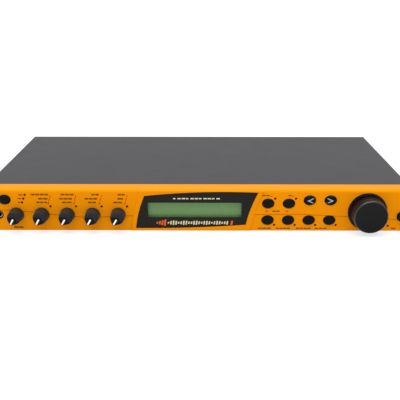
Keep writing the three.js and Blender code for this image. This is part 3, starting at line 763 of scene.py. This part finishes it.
def data_wheel():
    """A hollow wheel with a dished front, a rounded glossy rim and a collar at its base."""
    x, z = AXIS["data_wheel"]
    front, dish, flat, rim = -16, 1.8, 15.7, 1.3
    face = [(flat * i / 8, front + dish * (1 - (i / 8) ** 2)) for i in range(9)]
    edge = [(flat + rim * math.sin(a), front + rim - rim * math.cos(a))
            for a in (math.pi / 2 * i / 8 for i in range(1, 9))]
    collar = [(17.1, -0.8), (18.55, -0.75), (18.8, -0.5), (18.8, 2.6)]
    hollow = [(14.8, 2.6), (14.5, -13), (5.1, -13), (5.1, 3.2), (3.3, 3.2), (3.3, -11), (0, -11)]
    profile = face + edge + [(17.05, -8)] + collar + hollow
    piece("data_wheel_cap", turned(profile, WHEEL_SIDES, x, z), FINISH["wheel_plastic"], "data_wheel",
          ["data_wheel"])
    ring = [(radius + 0.02, y - 0.02) for radius, y in edge]
    inner = [(flat - 0.4, front + rim), (flat - 0.4, front + 0.6), (flat + 0.1, front + 0.05)]
    piece("data_wheel_rim", turned(ring + inner, WHEEL_SIDES, x, z, closed=True), FINISH["rim_gloss"],
          "data_wheel")


CAP_HALF = (5.95, 4.85)  # half the width and height of an oval key
# a key's dome: share of the way from its middle to its edge, and y
DOME = [(0, -1.5), (0.25, -1.48), (0.45, -1.42), (0.62, -1.3), (0.76, -1.12), (0.87, -0.86), (0.95, -0.5),
        (1, 0)]
ARROW = {"tip": 2.9, "tail": -2.5, "reach": 2.5, "arm": 2.6}


def dome_y(u, v):
    """The y of a key's dome at an offset from its middle."""
    share = math.hypot(u / CAP_HALF[0], v / CAP_HALF[1])
    for (r0, y0), (r1, y1) in zip(DOME, DOME[1:]):
        if r0 <= share <= r1:
            return y0 + (y1 - y0) * (share - r0) / (r1 - r0)
    return 0


def key_cap(name):
    """An oval domed key with a flange and a stem behind the panel."""
    x, z = middle(name)
    profile = DOME + [(1, 2.75), (1.2, 2.75), (1.2, 3.9), (0.42, 3.9), (0.42, 5.6), (0, 5.6)]
    shape = turned(profile, KEY_SIDES, x, z, CAP_HALF)
    piece(name + "_cap", shape, FINISH["key_rubber"], name, [name])


def chevron(name, side):
    """An arrow head moulded into a cursor key, following its dome."""
    x, z = middle(name)
    tip, tail, arm, reach = ARROW["tip"] * side, ARROW["tail"] * side, ARROW["arm"] * side, ARROW["reach"]
    rings = []
    for i in range(17):
        v = reach * (i / 8 - 1)
        outer = tip + (tail - tip) * abs(v) / reach
        inner = outer - arm * (1 - 0.35 * abs(v) / reach)
        rings.append([(x + u, dome_y(u, v) + lift, z + v)
                      for u, lift in ((inner, -0.07), (outer, -0.07), (outer, 0.35), (inner, 0.35))])
    piece(name + "_arrow", loft(rings), FINISH["arrow_grey"], name)


def power_key():
    """A round key with a slightly dished front, a flange and a long stem to its switch."""
    x, z = middle("power_button")
    profile = [(0, -2.9), (2.6, -2.95), (4.2, -3.2), (4.8, -3.15), (5.2, -2.9), (5.4, -2.4), (5.4, 2.75),
               (6.4, 2.75), (6.4, 4), (2.2, 4), (2.2, 19), (0, 19)]
    piece("power_button_cap", turned(profile, KEY_SIDES, x, z), FINISH["key_rubber"], "power_button",
          ["power_button"])


def lamps():
    """Small domed indicator lamps standing a little proud of the face."""
    domes = []
    profile = [(0, -0.35), (0.5, -0.3), (0.85, -0.12), (1.08, 0.25), (1.1, 4), (0, 4)]
    for x, z in led_places():
        front = face_depth(x, z)
        domes.append(turned([(radius, front + y) for radius, y in profile], SMALL, x, z))
    piece("indicator_lamps", together(*domes), FINISH["led_red"], "chassis")


def headphone_socket():
    """The headphone jack: a black body with a collar in the panel's hole and a metal sleeve inside."""
    x, z = middle("headphone_jack")
    body = mesh_object("headphone_socket", block((x - 7.2, x + 7.2), (2.7, 30), (z - 7.6, z + 7.6)))
    collar = [(0, 0.1), (4.1, 0.1), (4.5, 0.5), (4.5, 3.4), (0, 3.4)]
    combine(body, turned(collar, ROUND, x, z), "UNION")
    bore = [(0, -3), (3.9, -3), (3.9, 0.1), (3.4, 0.6), (3.3, 26), (0, 26)]
    combine(body, turned(bore, ROUND, x, z), "DIFFERENCE")
    piece("headphone_socket", body, FINISH["black_plastic"], "chassis", ["headphone_jack"])
    sleeve = [(3.28, 1.4), (3.28, 9), (2.9, 9), (2.9, 1.4)]
    piece("headphone_sleeve", turned(sleeve, ROUND, x, z, closed=True), FINISH["nickel"], "chassis")


# ---------------------------------------------------------------- printed marks
INK_PROUD = 0.05


def bar(x0, x1, z, height, surface=face_depth, slant=0.0):
    """A short printed stroke lying on the face."""
    low, high = z - height / 2, z + height / 2
    corners = [(x0, low), (x1, low), (x1 + slant, high), (x0 + slant, high)]
    front = [(x, surface(x, v) - INK_PROUD, v) for x, v in corners]
    back = [(x, surface(x, v) + 0.3, v) for x, v in corners]
    return loft([front, back])


# the labels over the control knobs: each row's z, and its labels' ends in x
ROW_MARKS = [(38.8, [(-167.3, -149.9), (-137.3, -124.2), (-106.5, -99.0), (-80.1, -73.0)]),
             (34.5, [(-160.3, -150.7), (-139.2, -126.1), (-113.5, -100.9), (-80.5, -74.7)]),
             (30.6, [(-162.1, -151.6), (-136.4, -126.9), (-110.3, -102.2), (-84.9, -76.0)])]
# the labels under the lower keys: their ends in x
LOWER_MARKS = [(61.7, 74.9), (80.0, 94.3), (100.4, 115.6), (119.7, 131.9)]


def words(x0, x1, z, height=1.75, length=3.4, space=0.6):
    """A row of short strokes that stands for a label, without letters."""
    count = max(1, round((x1 - x0) / (length + space)))
    pitch = (x1 - x0 + space) / count
    return [bar(x0 + i * pitch, x0 + i * pitch + pitch - space, z, height) for i in range(count)]


def leader_lines(x):
    """Three leaning strokes from a control knob's lamp up along its labels, thinner towards the top."""
    lean, foot = 2.8 / 8.5, 28.7
    strokes = []
    for z0, z1, width in ((foot, 31.3, 1.3), (32.1, 35.2, 1), (35.6, 38.4, 0.8)):
        start = x + 6.2 + (z0 - foot) * lean
        strokes.append(bar(start, start + width, (z0 + z1) / 2, z1 - z0, slant=(z1 - z0) * lean))
    return strokes


def panel_marks():
    """The face's printing: brown strokes for labels, red leader lines."""
    brown = []
    for z, spans in ROW_MARKS:
        for x0, x1 in spans:
            brown += words(x0, x1, z)
    for z, x0, x1 in ((38.4, -180, -175.6), (34.6, -181, -177.2), (30.5, -181, -178.8)):
        brown += words(x0, x1, z, 1.2)
    brown += words(-187.5, -178.1, 3.5)
    brown += words(64.8, 72.5, 38.2, 1.3) + words(91.3, 94.6, 38.2, 1.3) + words(75.6, 83.2, 21.6, 1.4)
    for x0, x1 in LOWER_MARKS:
        brown += words(x0, x1, 2.7, 1.5)
    brown += words(197.3, 201.9, 2.8, 1.4) + words(206, 211.2, 6.6, 1.4)
    piece("panel_labels", together(*brown), FINISH["panel_ink"], "chassis")
    red = []
    for knob in KNOBS[1:]:
        red += leader_lines(AXIS[knob][0])
    red += [bar(68.6, 71.0, 21.5, 1.3), bar(89.2, 91.6, 21.5, 1.3)]
    red += [bar(73, 75.2, 37.3, 1), bar(95.1, 97.2, 37.3, 1)]
    piece("panel_leader_lines", together(*red), FINISH["red_ink"], "chassis")


def lens_face(x, z):
    """The display mask's front, which is flat."""
    return LENS_Y


def window_marks():
    """A plain line of strokes above the view and a level pattern below it, in place of a name."""
    cream = []
    for i in range(11):
        start = -24.5 + i * 4.35
        cream.append(bar(start, start + (3.5 if i % 3 else 2.4), 34.9, 1.3, lens_face))
    for i in range(24):
        x = -30.5 + i * 2.6
        height = 1.6 + 3.2 * abs(math.sin(i * 0.74)) * (1 - 0.3 * i / 24)
        cream.append(bar(x, x + 1.5, 8.8, height, lens_face, slant=0.5))
    piece("display_print_cream", together(*cream), FINISH["cream_ink"], "chassis")
    accent = []
    for i in range(4):
        accent.append(bar(-42 + i * 2.6, -40.3 + i * 2.6, 8.8, 2 + 1.6 * i, lens_face, slant=0.8))
    accent.append(bar(33.5, 35.4, 8.8, 4.6, lens_face, slant=0.8))
    piece("display_print_orange", together(*accent), FINISH["orange_ink"], "chassis")


# ---------------------------------------------------------------- rear connectors
def hex_nut(across, front, back, x, z, bore):
    """A hexagonal nut with turned-down corners."""
    corner, rim = across / 2 / math.cos(math.pi / 6), across / 2 * 1.02
    nut = mesh_object("nut", turned([(0, front), (corner, front), (corner, back), (0, back)], 6, x, z))
    rounded = [(0, front - 1), (corner + 1, front - 1), (corner + 1, back - 0.7), (rim, back), (0, back)]
    combine(nut, turned(rounded, ROUND, x, z), "INTERSECT")
    opening = [(0, front - 2), (bore, front - 2), (bore, back + 2), (0, back + 2)]
    combine(nut, turned(opening, ROUND, x, z), "DIFFERENCE")
    return nut


def from_rear(profile):
    """A (radius, y) profile whose y is counted from the rear wall's outer face."""
    return [(radius, REAR + y) for radius, y in profile]


def audio_jack(index):
    """A plastic jack with a threaded bushing, and its nut and washer outside the rear wall."""
    name = f"audio_jack_{index}"
    x, z = middle(name)[0], REAR_Z
    body = mesh_object(name + "_body", block((x - 8, x + 8), (REAR - 28, REAR - 1.5), (z - 9, z + 8.5)))
    thread = [(0, REAR - 2.2)]
    for i in range(7):
        y = REAR - 2.2 + i * 0.75
        thread += [(4.65, y), (4.65, y + 0.25), (4.4, y + 0.38), (4.4, y + 0.6)]
    thread += [(4.3, REAR + 2.9), (0, REAR + 2.9)]
    combine(body, turned(thread, ROUND, x, z), "UNION")
    bore = from_rear([(0, 4), (3.7, 4), (3.7, 2.9), (3.3, 2.4), (3.3, -24), (0, -24)])
    combine(body, turned(bore, ROUND, x, z), "DIFFERENCE")
    piece(name + "_body", body, FINISH["black_plastic"], "chassis", [name])
    nut = hex_nut(11.6, REAR + 0.9, REAR + 2.3, x, z, 4.75)
    piece(name + "_nut", nut, FINISH["nickel"], "chassis", bevel=0.08)
    washer = from_rear([(4.8, 0.05), (6.9, 0.05), (7.1, 0.25), (7.1, 0.6), (6.9, 0.8), (4.8, 0.8)])
    piece(name + "_washer", turned(washer, ROUND, x, z, closed=True), FINISH["nickel"], "chassis")


def midi_socket(index):
    """A five-pole round socket: black face, keyed ring groove, five contacts, one screw each side."""
    name = f"midi_socket_{index}"
    x, z = middle(name)[0], REAR_Z
    body = mesh_object(name + "_body", block((x - 9, x + 9), (REAR - 14, REAR - 1.5), (z - 10, z + 10)))
    face = from_rear([(7.6, -2.2), (7.6, 0.5), (7.3, 0.8)])
    combine(body, turned(face, ROUND, x, z), "UNION")
    groove = from_rear([(5.6, 2), (5.6, -8), (6.9, -8), (6.9, 2)])
    combine(body, turned(groove, ROUND, x, z, closed=True), "DIFFERENCE")
    contacts = 3.9  # the radius that the five contacts stand on
    pins = []
    for degrees in (0, 45, 90, 135, 180):
        angle = math.radians(degrees)
        u, v = x + contacts * math.cos(angle), z + contacts * math.sin(angle)
        pins.append(turned(from_rear([(0.8, 2), (0.8, -7)]), SMALL, u, v))
    key = block((x - 1.1, x + 1.1), (REAR - 6, REAR + 2), (z - 7.1, z - 5.4))
    combine(body, together(*pins, key), "DIFFERENCE")
    piece(name + "_body", body, FINISH["black_plastic"], "chassis", [name])
    for side in (-1, 1):
        rear_screw(f"{name}_screw_{'left' if side < 0 else 'right'}", x + side * 11.1, z, 1.9)


def digital_jack():
    """A phono jack: a plated barrel round an orange insert."""
    x, z = middle("digital_jack")[0], REAR_Z
    body = mesh_object("digital_jack_body", block((x - 6, x + 6), (REAR - 12, REAR - 1.5), (z - 8, z + 7)))
    piece("digital_jack_body", body, FINISH["black_plastic"], "chassis", bevel=0.3)
    barrel = from_rear([(3.0, 8.3), (4.0, 8.3), (4.1, 8.1), (4.1, 0.9), (5.6, 0.9), (5.6, 0.1), (4.1, 0.1),
                        (4.1, -1.4), (3.0, -1.4)])
    piece("digital_jack_barrel", turned(barrel, ROUND, x, z, closed=True), FINISH["nickel"], "chassis",
          ["digital_jack"])
    insert = from_rear([(1.7, 7.6), (2.95, 7.6), (2.95, -1.4), (1.7, -1.4)])
    piece("digital_jack_insert", turned(insert, SMALL, x, z, closed=True), FINISH["orange_ink"], "chassis")


def mains_inlet():
    """A three-pole inlet: a flange and rim, a cavity with two bevelled corners and three blades in it."""
    x, z = middle("mains_inlet")[0], REAR_Z
    flange = rounded_rectangle(x - 15.4, x + 15.4, z - 12, z + 12, 3)
    body = mesh_object("mains_inlet_body", prism_y(flange, REAR + 0.3, REAR + 2.2))
    combine(body, block((x - 13.5, x + 13.5), (REAR - 16, REAR + 1), (z - 9.9, z + 9.9)), "UNION")
    rim = [(-13.2, -9.3), (13.2, -9.3), (13.2, 4.2), (8.1, 9.3), (-8.1, 9.3), (-13.2, 4.2)]
    combine(body, prism_y([(x + u, z + v) for u, v in rim], REAR + 1, REAR + 3), "UNION")
    cavity = [(-12.2, -8.3), (12.2, -8.3), (12.2, 3.8), (7.7, 8.3), (-7.7, 8.3), (-12.2, 3.8)]
    combine(body, prism_y([(x + u, z + v) for u, v in cavity], REAR - 14, REAR + 4), "DIFFERENCE")
    piece("mains_inlet_body", body, FINISH["black_plastic"], "chassis", ["mains_inlet"],
          bevel=0.3)
    blades = [block((x + u - 1, x + u + 1), (REAR - 15, REAR - 1.5), (z + v - 2, z + v + 2))
              for u, v in ((-7, -1.5), (7, -1.5), (0, 2.5))]
    piece("mains_inlet_blades", together(*blades), FINISH["nickel"], "chassis", bevel=0.3)


# ---------------------------------------------------------------- fasteners and rear print
def screw_head(radius):
    """A pan head's outline, as (radius, height) points from its seat."""
    return [(0, 0), (radius, 0), (radius, 0.5), (radius * 0.92, 1.0), (radius * 0.7, 1.35), (0, 1.5)]


def rear_screw(name, x, z, radius):
    """The head of a screw in the rear wall, with a cross cut in it."""
    head = mesh_object(name, turned([(r, REAR + 0.02 + h) for r, h in screw_head(radius)], SMALL, x, z))
    arm, width = radius * 0.62, radius * 0.16
    combine(head, block((x - arm, x + arm), (REAR + 0.7, REAR + 3), (z - width, z + width)), "DIFFERENCE")
    combine(head, block((x - width, x + width), (REAR + 0.7, REAR + 3), (z - arm, z + arm)), "DIFFERENCE")
    piece(name, head, FINISH["nickel"], "chassis")


def cover_screw(node_name, side):
    """A screw in the side of the cover, its axis along X."""
    y, z = 117, 7
    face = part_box("top_cover")[1].x / MM
    rings = []
    for radius, height in [(0, -6), (1.5, -6), (1.5, 0)] + screw_head(3.2)[1:]:
        x = side * (face + 0.3 + height)
        if radius == 0:
            rings.append([(x, y, z)])
        else:
            rings.append([(x, y + u, z + v) for u, v in circle(0, 0, radius, radius, ROUND)])
    head = mesh_object(node_name + "_head", loft(rings))
    reach = sorted((side * (face + 1.1), side * (face + 4)))
    combine(head, block(reach, (y - 2, y + 2), (z - 0.5, z + 0.5)), "DIFFERENCE")
    combine(head, block(reach, (y - 0.5, y + 0.5), (z - 2, z + 2)), "DIFFERENCE")
    piece(node_name + "_head", head, FINISH["nickel"], "chassis", [node_name])


def rear_bar(x0, x1, z, height):
    """A printed stroke on the rear wall."""
    return prism_y(rectangle(x0, x1, z - height / 2, z + height / 2), REAR - 0.2, REAR + INK_PROUD)


def rear_print():
    """Plain strokes under and over the rear sockets, where their names would be."""
    strokes = []
    for i in range(1, 7):
        x = middle(f"audio_jack_{i}")[0]
        strokes += [rear_bar(x - 4, x - 0.4, 9, 0.9), rear_bar(x + 0.4, x + 4, 9, 0.9)]
    for i in range(1, 6):
        x = middle(f"midi_socket_{i}")[0]
        strokes += [rear_bar(x - 3.4, x + 3.4, 8, 0.9)]
    x = middle("digital_jack")[0]
    strokes += [rear_bar(x - 3.4, x + 3.4, 11, 0.9)]
    strokes += [rear_bar(26, 130, 34, 0.5), rear_bar(-156, -48, 34, 0.5)]
    piece("rear_labels", together(*strokes), FINISH["pointer_white"], "chassis")


# ---------------------------------------------------------------- setting
def camera():
    """A camera in front of the panel and above it, looking down."""
    down, turn = 20.175, 0.2815  # degrees
    data = bpy.data.cameras.new("camera")
    data.lens = 56.53
    data.sensor_width = 36
    data.clip_end = 300
    made = bpy.data.objects.new("camera", data)
    made.location = (0.00548, -0.69636, 0.25110)
    made.rotation_euler = (math.radians(90 - down), 0, math.radians(turn))
    bpy.context.scene.collection.objects.link(made)
    bpy.context.scene.camera = made


def floor():
    """A wide white floor that is partly lit from within, like a lightbox."""
    reach = 60
    mesh = bpy.data.meshes.new("floor")
    mesh.from_pydata([(x, y, 0) for x, y in rectangle(-reach, reach, -reach, reach)], [], [(0, 1, 2, 3)])
    made = bpy.data.objects.new("floor", mesh)
    finish("floor_white", (0.30, 0.30, 0.30), 0.9, specular=0.05, mottle=0.005, mottle_size=900, grain=4)
    white = FINISH["floor_white"]
    shader = white.node_tree.nodes["Principled BSDF"]
    shader.inputs["Emission Color"].default_value = (1, 1, 1, 1)
    shader.inputs["Emission Strength"].default_value = 0.70
    mesh.materials.append(white)
    bpy.context.scene.collection.objects.link(made)


def studio_light():
    """An even white surround and one large soft light overhead."""
    world = bpy.data.worlds.new("studio")
    world.use_nodes = True
    background = world.node_tree.nodes["Background"]
    background.inputs["Color"].default_value = (1, 1, 1, 1)
    background.inputs["Strength"].default_value = 0.78
    bpy.context.scene.world = world
    overhead = bpy.data.lights.new("overhead_softbox", "SUN")
    overhead.energy = 2.8
    overhead.angle = math.radians(70)
    lamp = bpy.data.objects.new("overhead_softbox", overhead)
    lamp.rotation_euler = (math.radians(4), math.radians(-6), 0)
    bpy.context.scene.collection.objects.link(lamp)
    bpy.context.scene.view_settings.view_transform = "Standard"


# ---------------------------------------------------------------- the unit
camera()
finish_cad_nodes()
front_bezel()
display_window()
for knob_name in KNOBS:
    pointer_knob(knob_name)
data_wheel()
for cap_name in CAPS:
    key_cap(cap_name)
chevron("cursor_left_button", -1)
chevron("cursor_right_button", 1)
power_key()
lamps()
headphone_socket()
panel_marks()
window_marks()
for number in range(1, 7):
    audio_jack(number)
for number in range(1, 6):
    midi_socket(number)
digital_jack()
mains_inlet()
cover_screw("cover_screw_right", 1)
cover_screw("cover_screw_left", -1)
rear_print()
floor()
studio_light()
